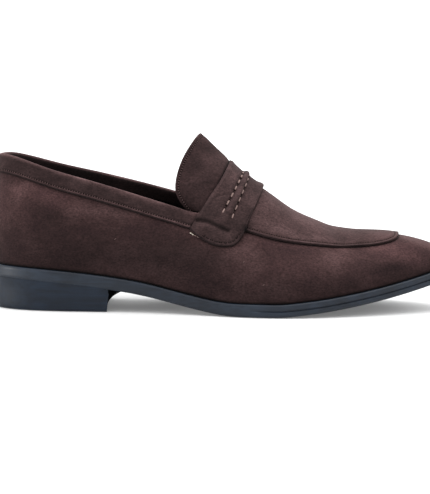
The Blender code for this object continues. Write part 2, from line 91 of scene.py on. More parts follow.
def linear(colour):
    """Linear RGBA of an sRGB hex colour."""
    parts = [int(colour[k:k + 2], 16) / 255 for k in (1, 3, 5)]
    return (*(c / 12.92 if c <= 0.04045 else ((c + 0.055) / 1.055) ** 2.4 for c in parts), 1.0)


def add_node(tree, kind, links=(), values=(), **settings):
    """Adds one node with its settings, the values of its inputs and the links into them."""
    node = tree.nodes.new(kind)
    for name, value in settings.items():
        setattr(node, name, value)
    for name, value in dict(values).items():
        node.inputs[name].default_value = value
    for name, source in dict(links).items():
        tree.links.new(source, node.inputs[name])
    return node


# Buffed rubber compound: satin, with faint lighter streaks along the shoe left by the buffing wheel.
def buffed_rubber(name, deep, worn, streak_mm, roughness, gloss_level=0.3):
    finish = bpy.data.materials.new(name)
    finish.use_nodes = True
    tree = finish.node_tree
    shader = tree.nodes["Principled BSDF"]
    shader.inputs["IOR"].default_value = 1.52
    shader.inputs["Specular IOR Level"].default_value = gloss_level
    place = add_node(tree, "ShaderNodeTexCoord").outputs["Object"]
    along = add_node(tree, "ShaderNodeMapping", {"Vector": place}, {"Scale": (0.035, 1.0, 1.0)})
    streaks = add_node(
        tree, "ShaderNodeTexNoise", {"Vector": along.outputs[0]},
        {"Scale": 1 / (streak_mm * MM), "Detail": 5.0, "Roughness": 0.6},
    )
    clouds = add_node(
        tree, "ShaderNodeTexNoise", {"Vector": place}, {"Scale": 1 / (18 * MM), "Detail": 4.0},
    )
    both = add_node(
        tree, "ShaderNodeMath", {0: streaks.outputs["Fac"], 1: clouds.outputs["Fac"]}, operation="MULTIPLY",
    )
    spread = add_node(
        tree, "ShaderNodeMapRange", {"Value": both.outputs[0]}, {"From Min": 0.14, "From Max": 0.4},
    )
    tone = add_node(
        tree, "ShaderNodeMix", {0: spread.outputs[0]}, {6: linear(deep), 7: linear(worn)}, data_type="RGBA",
    )
    gloss = add_node(
        tree, "ShaderNodeMapRange", {"Value": streaks.outputs["Fac"]},
        {"From Min": 0.3, "From Max": 0.7, "To Min": roughness - 0.07, "To Max": roughness + 0.1},
    )
    grit = add_node(
        tree, "ShaderNodeTexNoise", {"Vector": along.outputs[0]}, {"Scale": 1 / (0.9 * MM), "Detail": 3.0},
    )
    relief = add_node(
        tree, "ShaderNodeBump", {"Height": grit.outputs["Fac"]}, {"Strength": 0.35, "Distance": 0.06 * MM},
    )
    tree.links.new(tone.outputs[2], shader.inputs["Base Color"])
    tree.links.new(gloss.outputs[0], shader.inputs["Roughness"])
    tree.links.new(relief.outputs[0], shader.inputs["Normal"])
    return finish


outsole = merged_copy("outsole", "outsole_rubber")
subdivide(outsole, 2, 1.0, sharp=30)
outsole.data.materials.append(buffed_rubber("buffed_blue_black_rubber", "#0e141d", "#1c2531", 1.6, 0.46))
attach(outsole, "root")
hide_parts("outsole")


# Heel block. A low block of the same rubber, cemented and nailed from inside under the outsole, a
# little smaller all round, so that a fine step shows between the two. Its breast is filleted.

def choose(piece, wanted):
    """Selects the faces of a piece for which wanted(face) holds and goes to edit mode."""
    bpy.ops.object.mode_set(mode="EDIT")
    bpy.ops.mesh.select_mode(type="FACE")
    bpy.ops.mesh.select_all(action="DESELECT")
    bpy.ops.object.mode_set(mode="OBJECT")
    for face in piece.data.polygons:
        face.select = wanted(face)
    bpy.ops.object.mode_set(mode="EDIT")


def part_way(value, start, end):
    """How far a value is on its way from start to end, from 0 to 1."""
    return min(1.0, max(0.0, (value - start) / (end - start)))


BREAST_X = -72.8 * MM
BREAST_HEIGHT = 14 * MM
BREAST_LEAN = 0.95 * MM  # how far the breast's foot stands behind its top
FILLET_REACH = 5.6 * MM  # how far the fillet runs forward under the waist
FILLET_SIDES = (29.5 * MM, 21.5 * MM)  # it grows from the first distance off the middle to the second
TOP_RISE = 0.95 * MM  # the block's top goes up over the outsole's rounded lower edge
TOP_SPREAD = (1.009, 1.019, 1.0)
HEEL_MIDDLE = 0.9 * MM  # y of the block's middle

heel = merged_copy("heel", "heel_block")
choose(heel, lambda face: face.normal.z > 0.9)
bpy.ops.transform.translate(value=(0.0, 0.0, TOP_RISE))
bpy.ops.transform.resize(value=TOP_SPREAD, center_override=(BREAST_X, HEEL_MIDDLE, 0.0))
bpy.ops.object.mode_set(mode="OBJECT")
for vertex in heel.data.vertices:
    if vertex.co.x > BREAST_X - 6 * MM:
        inboard = part_way(abs(vertex.co.y), *FILLET_SIDES)
        rise = vertex.co.z / BREAST_HEIGHT
        vertex.co.x += inboard * FILLET_REACH * rise ** 5 + BREAST_LEAN * (rise - 1.0)
heel.data.materials.append(buffed_rubber("buffed_heel_rubber", "#09101a", "#131e2c", 2.4, 0.42, 0.22))
# The breast stands in the waist's shadow, which is painted on as a near-black finish.
heel.data.materials.append(buffed_rubber("breast_painted_shade", "#010102", "#030304", 3.0, 0.9, 0.02))
for face in heel.data.polygons:  # near-black painted shade on the breast, not on the tread under it
    face.material_index = int(face.normal.x > 0.2 and face.normal.z > -0.98)
subdivide(heel, 2, 1.0, sharp=45)
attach(heel, "root")
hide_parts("heel")


# Insole. A sock of thin dark leather over the board, glued down on the outsole inside the upper.
# It only shows from above, through the collar.

insole = merged_copy("insole", "insole_sock")
subdivide(insole, 2, 0.9)


# Glove leather lining: matt, near black, with a fine pebbled grain. It also gives the painted
# shade in needle holes, in deeper colours and with next to no gloss.
def glove_leather(name, colour, worn, roughness, gloss_level=0.5):
    finish = bpy.data.materials.new(name)
    finish.use_nodes = True
    tree = finish.node_tree
    shader = tree.nodes["Principled BSDF"]
    shader.inputs["IOR"].default_value = 1.48
    shader.inputs["Specular IOR Level"].default_value = gloss_level
    place = add_node(tree, "ShaderNodeTexCoord").outputs["Object"]
    clouds = add_node(
        tree, "ShaderNodeTexNoise", {"Vector": place},
        {"Scale": 1 / (22 * MM), "Detail": 6.0, "Roughness": 0.6},
    )
    tone = add_node(
        tree, "ShaderNodeMix", {0: clouds.outputs["Fac"]},
        {6: linear(colour), 7: linear(worn)}, data_type="RGBA",
    )
    pebbles = add_node(
        tree, "ShaderNodeTexVoronoi", {"Vector": place}, {"Scale": 1 / (0.9 * MM)},
    )
    relief = add_node(
        tree, "ShaderNodeBump", {"Height": pebbles.outputs["Distance"]},
        {"Strength": 0.5, "Distance": 0.08 * MM},
    )
    gloss = add_node(
        tree, "ShaderNodeMapRange", {"Value": clouds.outputs["Fac"]},
        {"To Min": roughness - 0.08, "To Max": roughness + 0.08},
    )
    tree.links.new(tone.outputs[2], shader.inputs["Base Color"])
    tree.links.new(gloss.outputs[0], shader.inputs["Roughness"])
    tree.links.new(relief.outputs[0], shader.inputs["Normal"])
    return finish


insole.data.materials.append(glove_leather("insole_glove_leather", "#120e0d", "#1e1817", 0.62))
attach(insole, "root")
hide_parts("insole")


# Upper. One wall of brown suede with a leather lining, lasted and cemented down on the outsole.
# The nap is brushed along the shoe into soft clouds; painted light and shade lie over it in strokes.

# Suede: a fine upright nap with no gloss; brushing and handling leave blotches, and the fibres
# catch the light at a grazing angle, which is the sheen. The nap is drawn at 0.95 mm, coarser than
# the real 0.2 mm, because it wouldn't show otherwise. The last argument gives two heights of the
# surface's normal and the tones at them: painted light that lightens the parts that look up.
def suede(name, dark, mid, light, cloud_mm=26.0, top_light_range=(-0.1, 0.9, 0.88, 1.6)):
    finish = bpy.data.materials.new(name)
    finish.use_nodes = True
    tree = finish.node_tree
    shader = tree.nodes["Principled BSDF"]
    shader.inputs["Specular IOR Level"].default_value = 0.12
    shader.inputs["Sheen Weight"].default_value = 0.12
    shader.inputs["Sheen Roughness"].default_value = 0.5
    shader.inputs["Sheen Tint"].default_value = linear("#a58c8a")
    place = add_node(tree, "ShaderNodeTexCoord").outputs["Object"]
    brushed_nap_and_painted_light = add_node(tree, "ShaderNodeMapping", {"Vector": place}, {"Scale": (0.65, 1.0, 1.0)})
    clouds = add_node(
        tree, "ShaderNodeTexNoise", {"Vector": brushed_nap_and_painted_light.outputs[0]},
        {"Scale": 1 / (cloud_mm * MM), "Detail": 7.0, "Roughness": 0.66, "Distortion": 0.3},
    )
    tone = add_node(tree, "ShaderNodeValToRGB", {"Fac": clouds.outputs["Fac"]})
    ramp = tone.color_ramp.elements
    ramp[0].position, ramp[0].color = 0.34, linear(dark)
    ramp[1].position, ramp[1].color = 0.66, linear(light)
    ramp.new(0.5).color = linear(mid)
    nap = add_node(
        tree, "ShaderNodeTexNoise", {"Vector": brushed_nap_and_painted_light.outputs[0]},
        {"Scale": 1 / (0.95 * MM), "Detail": 3.0, "Roughness": 0.7},
    )
    speck = add_node(
        tree, "ShaderNodeMapRange", {"Value": nap.outputs["Fac"]},
        {"From Min": 0.3, "From Max": 0.7, "To Min": 0.5, "To Max": 1.5},
    )
    # Painted light lightens the parts that look up; painted shade darkens seams and corners.
    facing = add_node(tree, "ShaderNodeNewGeometry")
    upward = add_node(tree, "ShaderNodeSeparateXYZ", {"Vector": facing.outputs["Normal"]})
    painted_top_light = add_node(
        tree, "ShaderNodeMapRange", {"Value": upward.outputs["Z"]},
        dict(zip(("From Min", "From Max", "To Min", "To Max"), top_light_range)),
    )
    # Painted shade: ambient occlusion darkens the nap in seams, corners and creases.
    corners = add_node(
        tree, "ShaderNodeAmbientOcclusion", values={"Distance": 2.2 * MM}, samples=8,
    )
    painted_corner_shade = add_node(
        tree, "ShaderNodeMapRange", {"Value": corners.outputs["AO"]},
        {"From Min": 0.5, "From Max": 0.88, "To Min": 0.05, "To Max": 1.0},
    )
    # The attribute holds strokes of painted light and shade, with some tone of the nap.
    strokes = add_node(tree, "ShaderNodeAttribute", attribute_name="brushed_nap_and_painted_light")
    stroked = add_node(tree, "ShaderNodeMath", {0: strokes.outputs["Fac"]}, {1: 1.0}, operation="ADD")
    shade = speck
    for layer in (painted_top_light, painted_corner_shade, stroked):
        shade = add_node(
            tree, "ShaderNodeMath", {0: shade.outputs[0], 1: layer.outputs[0]}, operation="MULTIPLY",
        )
    napped = add_node(
        tree, "ShaderNodeMix", {6: tone.outputs[0], 7: shade.outputs[0]}, {0: 1.0},
        data_type="RGBA", blend_type="MULTIPLY",
    )
    relief = add_node(
        tree, "ShaderNodeBump", {"Height": nap.outputs["Fac"]}, {"Strength": 0.6, "Distance": 0.25 * MM},
    )
    gloss = add_node(
        tree, "ShaderNodeMapRange", {"Value": clouds.outputs["Fac"]}, {"To Min": 0.98, "To Max": 0.86},
    )
    tree.links.new(napped.outputs[2], shader.inputs["Base Color"])
    tree.links.new(gloss.outputs[0], shader.inputs["Roughness"])
    tree.links.new(relief.outputs[0], shader.inputs["Normal"])
    return finish


FOOT_AXIS = ((-0.116, 0.05), (0.0, 0.036), (0.112, 0.031))  # x and height of a line through the foot


def from_foot(point):
    """Direction from the foot's axis to a point: outwards, wherever the point is on the shoe."""
    x = min(max(point.x, FOOT_AXIS[0][0]), FOOT_AXIS[-1][0])
    height = float(np.interp(x, *zip(*FOOT_AXIS)))
    return (point - Vector((x, 0.0, height))).normalized()


CUT_ANGLE = math.radians(62)  # a cut edge is sharper than this
LOOKS_IN = -0.45  # cosine to the outward direction below which a rolled piece's face looks at the foot
LOOKS_OUT = 0.3  # and above which it looks away


def mark_faces(piece, wanted_cut, rolled=False):
    """Marks a merged copy's faces before it is subdivided: "side" is 1 on the face that looks away
    from the foot, -1 on the one that looks at it and 0 on the cut edges between. Where wanted_cut
    of a cut edge's normal holds, the edge between it and the outer face is marked as a seam.
    On a rolled piece, whose rolls are as sharp as its edges, only the faces' direction counts."""
    shape = bmesh.new()
    shape.from_mesh(piece.data)
    side = shape.faces.layers.int.new("side")
    outward = {f: f.normal.dot(from_foot(f.calc_center_median())) for f in shape.faces}
    sharp = {e for e in shape.edges if e.calc_face_angle(0.0) > CUT_ANGLE}
    patches = []
    left = set(shape.faces)
    while left and not rolled:
        patch = []
        front = [left.pop()]
        while front:
            face = front.pop()
            patch.append(face)
            for edge in face.edges:
                fresh = [] if edge in sharp else [f for f in edge.link_faces if f in left]
                left.difference_update(fresh)
                front.extend(fresh)
        patches.append(patch)
    if rolled:
        inner = [f for f in outward if outward[f] < LOOKS_IN]
        patches = [inner, [f for f in outward if outward[f] > LOOKS_OUT]]
    patches.sort(key=lambda patch: sum(f.calc_area() * outward[f] for f in patch))
    for value, patch in ((-1, patches[0]), (1, patches[-1])):
        for face in patch:
            face[side] = value
    for edge in shape.edges:
        cut = [f for f in edge.link_faces if f[side] == 0]
        outer = [f for f in edge.link_faces if f[side] == 1]
        edge.seam = bool(cut and outer and wanted_cut(cut[0].normal))
    shape.to_mesh(piece.data)
    shape.free()


def line_inside(piece, lining):
    """Gives the face that looks at the foot the lining as second material."""
    piece.data.materials.append(lining)
    for face, side in zip(piece.data.polygons, piece.data.attributes["side"].data):
        if side.value == -1:
            face.material_index = len(piece.data.materials) - 1


def surface_of(piece):
    """A piece's surface as it is now, for rays and nearest points."""
    return BVHTree.FromPolygons(
        [v.co.copy() for v in piece.data.vertices], [tuple(f.vertices) for f in piece.data.polygons],
    )


def on_side(surface, side, places_mm):
    """Points on a surface at side-view places, x and height in millimetres; side is -1 for the outer."""
    points = []
    for x, z in places_mm:
        start = Vector((x * MM, side * 0.2, z * MM))
        spot = surface.ray_cast(start, Vector((0, -side, 0)))[0]
        if spot is not None:
            points.append(spot)
    return points


def even(line, spacing):
    """Points at equal distances along a line."""
    points = np.array(line)
    gone = np.concatenate(([0.0], np.cumsum(np.linalg.norm(np.diff(points, axis=0), axis=1))))
    count = max(2, round(gone[-1] / spacing) + 1)
    places = np.linspace(0.0, gone[-1], count)
    return [Vector(p) for p in np.stack([np.interp(places, gone, points[:, k]) for k in range(3)], axis=1)]


def beside(piece, line, half_width):
    """Vertices beside a line, with a weight that falls off softly from 1."""
    tree = KDTree(len(line))
    for k, point in enumerate(line):
        tree.insert(point, k)
    tree.balance()
    low = np.min(line, axis=0) - 3 * half_width
    high = np.max(line, axis=0) + 3 * half_width
    found = []
    for vertex in piece.data.vertices:
        if all(low[k] < vertex.co[k] < high[k] for k in range(3)):
            away = tree.find(vertex.co)[2] / half_width
            if away < 3:
                found.append((vertex, math.exp(-away * away)))
    return found


def tint(piece, line, half_width, tone):
    """Lightens the nap beside a line by a share, or darkens it, as painted light and shade."""
    if "brushed_nap_and_painted_light" not in piece.data.attributes:
        piece.data.attributes.new("brushed_nap_and_painted_light", "FLOAT", "POINT")
    marked = beside(piece, line, half_width)
    values = piece.data.attributes["brushed_nap_and_painted_light"].data
    for vertex, weight in marked:
        values[vertex.index].value += tone * weight


def paint_tone_strokes(piece, strokes):
    """Paints soft strokes on both sides of the shoe, painted light and shade with some tone of the nap:
    each is a line of side-view places in millimetres, its half width in millimetres and its tone."""
    surface = surface_of(piece)
    for places, half_width, tone in strokes:
        for side in (-1, 1):
            line = on_side(surface, side, places)
            if len(line) > 1:
                tint(piece, even(line, 1.0 * MM), half_width * MM, tone)


def seam_edges(piece):
    """Lines along a piece's marked seam edges, longest first, each point with the way in from the
    cut edge over the outer face."""
    shape = bmesh.new()
    shape.from_mesh(piece.data)
    side = shape.faces.layers.int["side"]
    links = {}
    for edge in shape.edges:
        if edge.seam:
            for a, b in (edge.verts, reversed(edge.verts)):
                links.setdefault(a, []).append(b)
    lines = []
    while links:
        here = next((v for v in links if len(links[v]) == 1), next(iter(links)))
        line = [here]
        while links.get(here):
            after = links[here].pop()
            links[after].remove(here)
            line.append(after)
            here = after
        links = {v: ends for v, ends in links.items() if ends}
        inner = []
        for vertex in line:
            centres = [f.calc_center_median() for f in vertex.link_faces if f[side] == 1]
            inner.append(sum(centres, Vector()) / len(centres) - vertex.co)
        lines.append(([v.co.copy() for v in line], inner))
    shape.free()
    return sorted(lines, key=lambda line: -len(line[0]))


lining_leather = glove_leather("lining_glove_leather", "#0e0a0a", "#191212", 0.7)
upper = merged_copy("upper", "upper_suede_wall")
mark_faces(upper, lambda cut: cut.z < -0.7)
# Painted light: the wall's parts that look up are lightened up to 2.2 times.
upper.data.materials.append(
    suede("brown_suede", "#1d1213", "#261919", "#332424", top_light_range=(0.0, 0.9, 0.92, 2.2)),
)
line_inside(upper, lining_leather)
subdivide(upper, 2, 0.7)
tint(upper, even(seam_edges(upper)[0][0], 0.5 * MM), 1.3 * MM, -0.7)  # painted shade along the welt
paint_tone_strokes(upper, (
    # quarter: painted light under the binding and at the back, painted shade below
    (((-146, 77), (-135, 75), (-116, 76)), 8, 0.4),
    (((-131, 78), (-115, 75.5), (-102, 72.5)), 6.5, 0.52),
    (((-118, 72), (-60, 60)), 6, 0.12),
    (((-111, 73), (-95, 68)), 5, 0.32),
    (((-143, 70), (-143, 57)), 7, 0.5),
    (((-144, 62), (-128, 60)), 8, 0.4),
    (((-117, 64), (-107, 60)), 7, -0.24),
    (((-98, 63), (-82, 61)), 5, 0.08),
    (((-68, 66), (-60, 64)), 4.5, -0.25),
    (((-57, 62), (-47, 58)), 5, 0.16),
    (((-82, 42), (-67, 35)), 8, -0.16),
    (((-120, 34), (-45, 31)), 9, -0.1),
    (((-104, 34), (-88, 32)), 7, -0.2),
    # waist: painted shade, with a lighter spot above the arch
    (((-50, 40), (-31, 38)), 11, -0.2),
    (((-25, 41), (-6, 36)), 9, -0.2),
    (((-45, 37), (-18, 34)), 10, -0.1),
    (((-12, 37), (20, 35)), 7, -0.16),
    (((-58, 24), (-48, 22)), 4, 0.08),
    (((-6, 23), (29, 14)), 9, -0.15),
    # vamp: painted light below the apron, painted shade along the sole
    (((2, 45), (7, 41)), 5, 0.1),
    (((24, 46), (54, 42)), 4, 0.14),
    (((35, 34), (45, 31)), 5, 0.1),
    (((67, 31), (81, 26)), 8, -0.14),
    (((32, 20), (79, 20)), 6, -0.25),
    # toe: painted light on top, painted shade below
    (((96, 43), (110, 39), (121, 34)), 8, 0.65),
    (((108, 33), (122, 31)), 4, -0.22),
    (((96, 30), (110, 29), (124, 26)), 5, -0.3),
    (((86, 25), (112, 28)), 5, -0.12),
))
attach(upper, "root")
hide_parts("upper")


# Apron. A plug of the same suede laid on the vamp and sewn down along its edge with a thread of
# its own colour; the seam pulls in a fine channel, and a shallow dip crosses it above the toes.

def seam_line(edge, surface, inset, spacing):
    """A line moved in from a cut edge over the surface, with points at equal distances."""
    points, inner = edge
    moved = []
    for k, here in enumerate(points):
        along = (points[min(k + 3, len(points) - 1)] - points[max(k - 3, 0)]).normalized()
        inward = inner[k] - along * inner[k].dot(along)
        moved.append(surface.find_nearest(here + inward.normalized() * inset)[0])
    return even(moved, spacing)


def press(piece, line, depth, half_width):
    """Presses a soft trough into the outer face along a line; a negative depth raises a ridge."""
    moves = [
        (vertex, vertex.normal * (depth * weight)) for vertex, weight in beside(piece, line, half_width)
        if vertex.normal.dot(from_foot(vertex.co)) > 0
    ]
    for vertex, move in moves:
        vertex.co -= move


def sink_seam(piece, seam, depth, half_width, shade_width, tone):
    """Pulls a seam into a fine channel and darkens it with painted shade."""
    line = even(seam, 0.4 * MM)
    press(piece, line, depth, half_width)
    tint(piece, line, shade_width, tone)


# Waxed thread: twisted polyester, a little glossier than the suede around it.
def waxed_thread(name, colour):
    finish = bpy.data.materials.new(name)
    finish.use_nodes = True
    tree = finish.node_tree
    shader = tree.nodes["Principled BSDF"]
    shader.inputs["Roughness"].default_value = 0.7
    shader.inputs["Specular IOR Level"].default_value = 0.12
    place = add_node(tree, "ShaderNodeTexCoord").outputs["Object"]
    twist = add_node(
        tree, "ShaderNodeTexNoise", {"Vector": place}, {"Scale": 1 / (0.7 * MM), "Detail": 2.0},
    )
    shade = add_node(
        tree, "ShaderNodeMapRange", {"Value": twist.outputs["Fac"]}, {"To Min": 0.6, "To Max": 1.35},
    )
    tone = add_node(
        tree, "ShaderNodeMix", {7: shade.outputs[0]}, {0: 1.0, 6: linear(colour)},
        data_type="RGBA", blend_type="MULTIPLY",
    )
    tree.links.new(tone.outputs[2], shader.inputs["Base Color"])
    return finish


def model_stitch(length, width, thread, hole):
    """One stitch along X: a thread that dips into the leather at both ends, over discs at its holes that
    mostly carry painted shade.
    """
    bpy.ops.object.select_all(action="DESELECT")
    bpy.ops.mesh.primitive_uv_sphere_add(segments=6, ring_count=6, radius=0.5)
    stitch = bpy.context.active_object
    bpy.ops.object.mode_set(mode="EDIT")
    bpy.ops.mesh.select_all(action="SELECT")
    bpy.ops.transform.rotate(value=math.pi / 2, orient_axis="Y", center_override=(0, 0, 0))
    bpy.ops.transform.resize(value=(length, width, 0.6 * width))
    bpy.ops.transform.translate(value=(0, 0, 0.06 * width))
    bpy.ops.object.mode_set(mode="OBJECT")
    for vertex in stitch.data.vertices:
        vertex.co.z -= 0.35 * width * (2 * vertex.co.x / length) ** 4
    stitch.data.materials.append(thread)
    stitch.data.materials.append(hole)
    bpy.ops.object.mode_set(mode="EDIT")
    for end in (-0.5, 0.5):
        bpy.ops.mesh.select_all(action="DESELECT")
        bpy.ops.mesh.primitive_uv_sphere_add(segments=6, ring_count=4, radius=0.5)
        bpy.ops.transform.resize(value=(0.95 * width, 1.1 * width, 0.18 * width))
        bpy.ops.transform.translate(value=(end * length, 0, 0))
        stitch.active_material_index = 1
        bpy.ops.object.material_slot_assign()
    bpy.ops.object.mode_set(mode="OBJECT")
    bpy.ops.object.shade_smooth()
    return stitch


def sew(name, rows, surface, stitch):
    """Copies of a stitch along lines of places on a surface, joined as one piece."""
    bpy.ops.object.select_all(action="DESELECT")
    for row in rows:
        for k, here in enumerate(row):
            ahead = row[min(k + 1, len(row) - 1)] - row[max(k - 1, 0)]
            spot, normal = surface.find_nearest(here)[:2]
            if normal.dot(from_foot(spot)) < 0:
                normal = -normal
            side = normal.cross(ahead).normalized()
            along = side.cross(normal).normalized()
            turn = Matrix((along, side, normal)).transposed().to_4x4()
            copy = stitch.copy()
            copy.data = stitch.data.copy()
            copy.matrix_world = Matrix.Translation(spot) @ turn
            bpy.context.scene.collection.objects.link(copy)
            copy.select_set(True)
            bpy.context.view_layer.objects.active = copy
    bpy.data.objects.remove(stitch)
    bpy.ops.object.join()
    bpy.ops.object.transform_apply(location=True, rotation=True, scale=True)
    made = bpy.context.active_object
    made.name = name
    made.data.name = name
    return made


APRON_SEAM_INSET = 2.3 * MM
APRON_STITCH_PITCH = 1.6 * MM
APRON_DIP = ((67.8, 52.7), (70.8, 50.3), (74.8, 46.5))  # side-view places in millimetres

apron = merged_copy("apron", "apron_plug")
mark_faces(apron, lambda cut: cut.x > -0.35 or cut.z < -0.3)
apron.data.materials.append(suede("brown_suede_apron", "#261a1a", "#322424", "#403030", 22.0))
subdivide(apron, 3, 0.6)
apron_edge = seam_edges(apron)[0]
apron_seam = seam_line(apron_edge, surface_of(apron), APRON_SEAM_INSET, APRON_STITCH_PITCH)
sink_seam(apron, apron_seam, depth=0.3 * MM, half_width=0.9 * MM, shade_width=0.7 * MM, tone=-0.4)
# Painted shade under the apron's cut edge.
tint(apron, even(apron_edge[0], 0.3 * MM), 0.6 * MM, -0.7)
apron_surface = surface_of(apron)
# On each side a pressed dip, with painted shade in it.
for side in (-1, 1):
    dip = even(on_side(apron_surface, side, APRON_DIP), 0.5 * MM)
    press(apron, dip, 0.7 * MM, 6.0 * MM)
    tint(apron, dip, 4.0 * MM, -0.22)
# Painted light at the front end, painted shade along the strap's front edge.
paint_tone_strokes(apron, (
    (((96, 48), (108, 48)), 6, 0.3),
    (((48, 57), (62, 51)), 5, 0.1),
    (((15, 54), (23, 76)), 3.0, -0.4),
))
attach(apron, "root")
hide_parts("apron")

seam_thread = waxed_thread("brown_waxed_thread", "#4c3b3a")
dark_thread = waxed_thread("dark_brown_thread", "#382826")
hole_shade = glove_leather("needle_hole_shade", "#080505", "#0d0908", 0.95, 0.03)
apron_stitch = model_stitch(1.0 * MM, 0.7 * MM, dark_thread, hole_shade)
apron_stitches = sew("apron_stitches", [apron_seam], surface_of(apron), apron_stitch)
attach(apron_stitches, "root")


# Tongue. A leaf of suede backed with lining leather, sewn under the throat's edge, that stands up
# behind the strap. A row of stitches runs round it, about two millimetres inside its free edge.

INNER_LEAN = 1.8 * MM  # the inner half leans forward, so that the outer edge hides its lining
BACK_LEAN = 1.3 * MM  # the leaf leans back where it is clear of the strap
CORNER_DROP = 3.5 * MM  # the lower rear corners reach down behind the collar
STRAP_REAR = Vector((2.1 * MM, 0.0, 97.4 * MM))  # on top of the strap's rear edge
BEHIND_STRAP = Vector((-0.861, 0.0, 0.51))
TONGUE_SEAM_INSET = 1.9 * MM
TONGUE_STITCH_PITCH = 1.65 * MM  # about 1.3 mm on the shoe, too fine to show

tongue = merged_copy("tongue", "tongue_leaf")
for vertex in tongue.data.vertices:
    height = part_way(vertex.co.z, 70 * MM, 90 * MM)
    inner = part_way(vertex.co.y, 0.0, 12 * MM)
    clear = part_way((vertex.co - STRAP_REAR).dot(BEHIND_STRAP), 0.0, 14 * MM)
    vertex.co.x += height * (INNER_LEAN * inner - BACK_LEAN * clear)
    corner = part_way(vertex.co.z, 72 * MM, 66 * MM) * part_way(vertex.co.x, -29 * MM, -23 * MM)
    vertex.co.z -= CORNER_DROP * corner
mark_faces(tongue, lambda cut: cut.x < 0.6)
tongue.data.materials.append(suede("brown_suede_tongue", "#1d1313", "#261a1a", "#342525", 24.0))
line_inside(tongue, lining_leather)
subdivide(tongue, 3, 0.6)
tongue_edge = seam_edges(tongue)[0]
tongue_seam = seam_line(tongue_edge, surface_of(tongue), TONGUE_SEAM_INSET, TONGUE_STITCH_PITCH)
sink_seam(tongue, tongue_seam, depth=0.3 * MM, half_width=0.9 * MM, shade_width=0.8 * MM, tone=-0.5)
swell = [Vector((-10.5, 3.0, 105.5)) * MM, Vector((-2.0, 3.0, 97.0)) * MM]  # the leaf's crowned middle
press(tongue, even(swell, 1.0 * MM), -1.2 * MM, 9.0 * MM)
# Painted light and shade: a darker middle and a lighter right half.
paint_tone_strokes(tongue, (
    (((-20, 91), (-12, 84)), 9, -0.28),
    (((-6, 97), (2, 86)), 5, 0.14),
    (((-16, 106), (-3, 95)), 5, -0.12),
))
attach(tongue, "root")
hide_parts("tongue")

tongue_stitch = model_stitch(0.9 * MM, 0.95 * MM, seam_thread, hole_shade)
tongue_stitches = sew("tongue_stitches", [tongue_seam], surface_of(tongue), tongue_stitch)
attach(tongue_stitches, "root")


# Collar. A suede binding folded over the topline and sewn through just above its lower edge, so
# that a soft lip stands below the stitches.

ANKLE_RISE = 1.2 * MM  # the binding stands a little fuller behind the outer ankle
COLLAR_SEAM_INSET = 1.7 * MM
COLLAR_STITCH_PITCH = 1.65 * MM  # about 1.3 mm on the shoe, too fine to show
COLLAR_LIP_INSET = 1.0 * MM

collar = merged_copy("collar", "collar_binding")
for vertex in collar.data.vertices:
    back = part_way(vertex.co.x, -112 * MM, -132 * MM)
    vertex.co.z += ANKLE_RISE * back * part_way(vertex.co.y, 0.0, -10 * MM)
mark_faces(collar, lambda cut: cut.z < -0.4)
# Painted light: the binding's top fold, which looks up, is lightened up to 3.2 times.
collar.data.materials.append(
    suede("brown_suede_binding", "#1f1515", "#281c1c", "#352727", 20.0, (0.35, 0.92, 0.84, 3.2)),
)
subdivide(collar, 3, 0.6)
collar_edge = max(seam_edges(collar)[:2], key=lambda edge: max(abs(p.y) for p in edge[0]))
collar_seam = seam_line(collar_edge, surface_of(collar), COLLAR_SEAM_INSET, COLLAR_STITCH_PITCH)
sink_seam(collar, collar_seam, depth=0.35 * MM, half_width=0.7 * MM, shade_width=0.7 * MM, tone=-0.4)
# Painted shade under the binding's cut edge.
tint(collar, even(collar_edge[0], 0.3 * MM), 0.55 * MM, -0.7)
collar_lip = seam_line(collar_edge, surface_of(collar), COLLAR_LIP_INSET, 0.4 * MM)
tint(collar, collar_lip, 0.45 * MM, 0.6)  # painted highlight on the lip below the stitches
inner_shade_values = collar.data.attributes["brushed_nap_and_painted_light"].data
for vertex in collar.data.vertices:  # painted shade on the side turned to the foot
    inward = part_way(vertex.normal.dot(from_foot(vertex.co)), 0.0, -0.5)
    inner_shade_values[vertex.index].value -= 0.55 * inward
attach(collar, "root")
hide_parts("collar")

collar_stitch = model_stitch(0.8 * MM, 0.85 * MM, seam_thread, hole_shade)
collar_stitches = sew("collar_stitches", [collar_seam], surface_of(collar), collar_stitch)
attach(collar_stitches, "root")


# Strap. A saddle strap of suede over the instep with three rolls, two rows of hand stitches in
# tan thread beside the middle roll, and rounded tabs sewn down on the sides below a crease.

TAB_SEAM_INSET = 2.0 * MM
TAB_STITCH_PITCH = 3.0 * MM
TAB_SEAM_TOP = 51.5 * MM  # the seam ends at this height on both sides of a tab
# Creases as side-view places in millimetres
TAB_CREASE = ((-17.4, 59.1), (-12.3, 58.6), (-7.6, 57.2), (-3.9, 55.5), (-0.7, 53.9), (2.2, 53.0))
SMALL_WRINKLE = ((-5.2, 73.9), (-1.5, 74.8), (3.3, 75.4))

strap = merged_copy("strap", "saddle_strap")
mark_faces(strap, lambda cut: cut.z < -0.25, rolled=True)
strap.data.materials.append(suede("brown_suede_strap", "#221818", "#2c2020", "#3a2b2b", 18.0))
subdivide(strap, 3, 0.6)
strap_surface = surface_of(strap)
tab_edges = seam_edges(strap)[:2]
tab_seams = [seam_line(edge, strap_surface, TAB_SEAM_INSET, TAB_STITCH_PITCH) for edge in tab_edges]
tab_seams = [[p for p in seam if p.z < TAB_SEAM_TOP] for seam in tab_seams]
